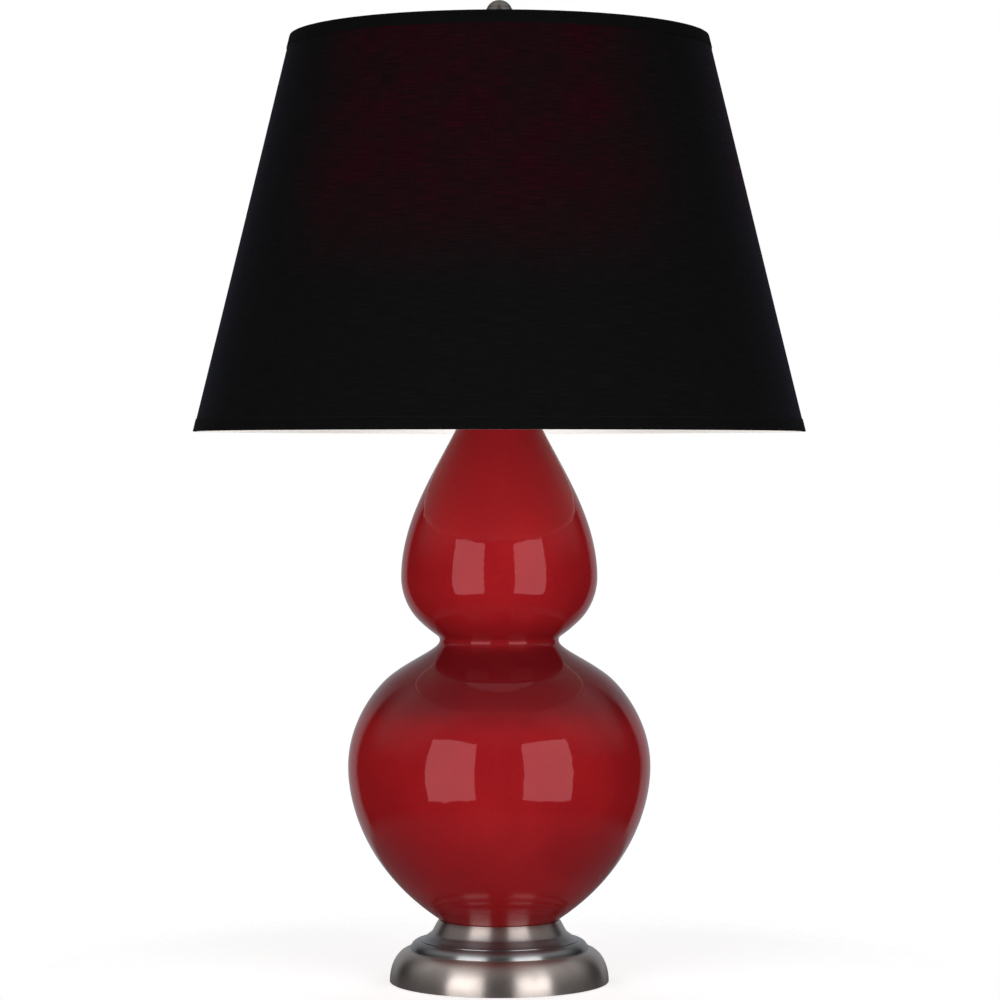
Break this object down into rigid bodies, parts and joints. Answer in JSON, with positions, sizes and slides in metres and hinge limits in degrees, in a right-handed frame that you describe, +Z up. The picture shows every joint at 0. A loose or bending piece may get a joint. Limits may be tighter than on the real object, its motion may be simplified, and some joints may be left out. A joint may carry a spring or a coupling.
{
  "type": "table lamp",
  "caption": "Table lamp with a glazed ceramic double-gourd body on a turned metal base, a harp and turn-switch socket, and a tapered drum fabric shade held by a finial.",
  "frame": {"origin": "centre of the felt's underside, on the surface the lamp stands on", "axes": "+Z up along the lamp's axis; the turn switch faces -Y and the cord inlet faces +Y"},
  "size_m": [0.4904, 0.4904, 0.7874],
  "materials": {
    "base_metal": "satin antique pewter, darker in the recesses",
    "plate_steel": "plain steel plate",
    "felt": "dark green felt",
    "weight_iron": "rough cast iron",
    "zinc_steel": "zinc-plated steel",
    "brass_plain": "plain machined brass",
    "bushing_plastic": "black moulded",
    "red_glaze": "high-gloss red glaze with fine speckle",
    "gasket_rubber": "soft black rubber",
    "harp_metal": "satin pewter finish",
    "brass_socket": "rolled brass, satin",
    "liner_card": "pressed paper board",
    "socket_phenolic": "black phenolic",
    "screw_shell_metal": "rolled aluminium",
    "knob_plastic": "black moulded",
    "bulb_insulator_glass": "black vitrite",
    "bulb_cap_metal": "rolled aluminium",
    "frosted_glass": "inside-frosted",
    "clear_glass": "clear",
    "filament_wire": "tungsten wire",
    "shade_cloth": "near-black fine weave with slubs",
    "shade_lining_card": "matte white",
    "shade_wire": "white-painted wire",
    "shade_trim": "near-black folded tape"
  },
  "bodies": {
    "root": {"base_felt": "felt", "base_plate": "plate_steel", "base_shell": "base_metal", "cord_bushing": "bushing_plastic", "base_weight": "weight_iron", "base_washer": "zinc_steel", "base_nut": "brass_plain", "lamp_pipe": "zinc_steel", "foot_gasket": "gasket_rubber", "gourd_body": "red_glaze", "neck_cap": "base_metal", "neck_spacer": "base_metal", "harp_saddle": "harp_metal", "socket_cap": "brass_socket", "socket_set_screw": "brass_plain", "socket_shell": "brass_socket", "shell_liner": "liner_card", "socket_core": "socket_phenolic", "terminal_screws": "brass_plain", "screw_shell": "screw_shell_metal", "centre_contact": "brass_plain"},
    "switch_key": {"switch_rotor": "socket_phenolic", "switch_shaft": "zinc_steel", "switch_knob": "knob_plastic"},
    "bulb_tip": {"bulb_contact": "zinc_steel", "bulb_insulator": "bulb_insulator_glass"},
    "bulb": {"bulb_cap": "bulb_cap_metal", "bulb_glass": "frosted_glass", "bulb_stem": "clear_glass", "bulb_filament": "filament_wire"},
    "harp": {"harp_bow": "harp_metal"},
    "left_sleeve": {"harp_sleeve_left": "harp_metal"},
    "right_sleeve": {"harp_sleeve_right": "harp_metal"},
    "shade_stud": {"harp_stud": "brass_plain"},
    "shade": {"shade_fabric": "shade_cloth", "shade_lining": "shade_lining_card", "top_ring": "shade_wire", "bottom_ring": "shade_wire", "top_trim": "shade_trim", "bottom_trim": "shade_trim", "back_seam": "shade_trim", "spider_hub": "harp_metal", "spider_arms": "harp_metal"},
    "finial_thread": {"finial_insert": "brass_plain"},
    "finial": {"finial_knob": "base_metal"}
  },
  "joints": [
    {"name": "switch_turn", "type": "hinge", "parent": "root", "child": "switch_key", "pos_m": [0, -0.02, 0.532], "axis": [0, -1, 0], "continuous": true},
    {"name": "bulb_rise", "type": "slide", "parent": "root", "child": "bulb_tip", "axis": [0, 0, 1], "range_m": [0, 0.0145]},
    {"name": "bulb_turn", "type": "hinge", "parent": "bulb_tip", "child": "bulb", "pos_m": [0, 0, 0.55], "axis": [0, 0, 1], "range_deg": [0, 1440]},
    {"name": "harp_lift", "type": "slide", "parent": "root", "child": "harp", "axis": [0, 0, 1], "range_m": [0, 0.02]},
    {"name": "left_sleeve_lift", "type": "slide", "parent": "harp", "child": "left_sleeve", "axis": [0, 0, 1], "range_m": [0, 0.015]},
    {"name": "right_sleeve_lift", "type": "slide", "parent": "harp", "child": "right_sleeve", "axis": [0, 0, 1], "range_m": [0, 0.015]},
    {"name": "shade_swivel", "type": "hinge", "parent": "harp", "child": "shade_stud", "pos_m": [0, 0, 0.7425], "axis": [0, 0, 1], "continuous": true},
    {"name": "shade_lift", "type": "slide", "parent": "shade_stud", "child": "shade", "axis": [0, 0, 1], "range_m": [0, 0.33]},
    {"name": "finial_rise", "type": "slide", "parent": "shade", "child": "finial_thread", "axis": [0, 0, 1], "range_m": [0, 0.0117]},
    {"name": "finial_turn", "type": "hinge", "parent": "finial_thread", "child": "finial", "pos_m": [0, 0, 0.76], "axis": [0, 0, 1], "range_deg": [0, 4500]}
  ],
  "couplings": [
    {"joint": "bulb_turn", "follows": "bulb_rise", "rad_per_m": 1731.6},
    {"joint": "finial_turn", "follows": "finial_rise", "rad_per_m": 6679}
  ]
}
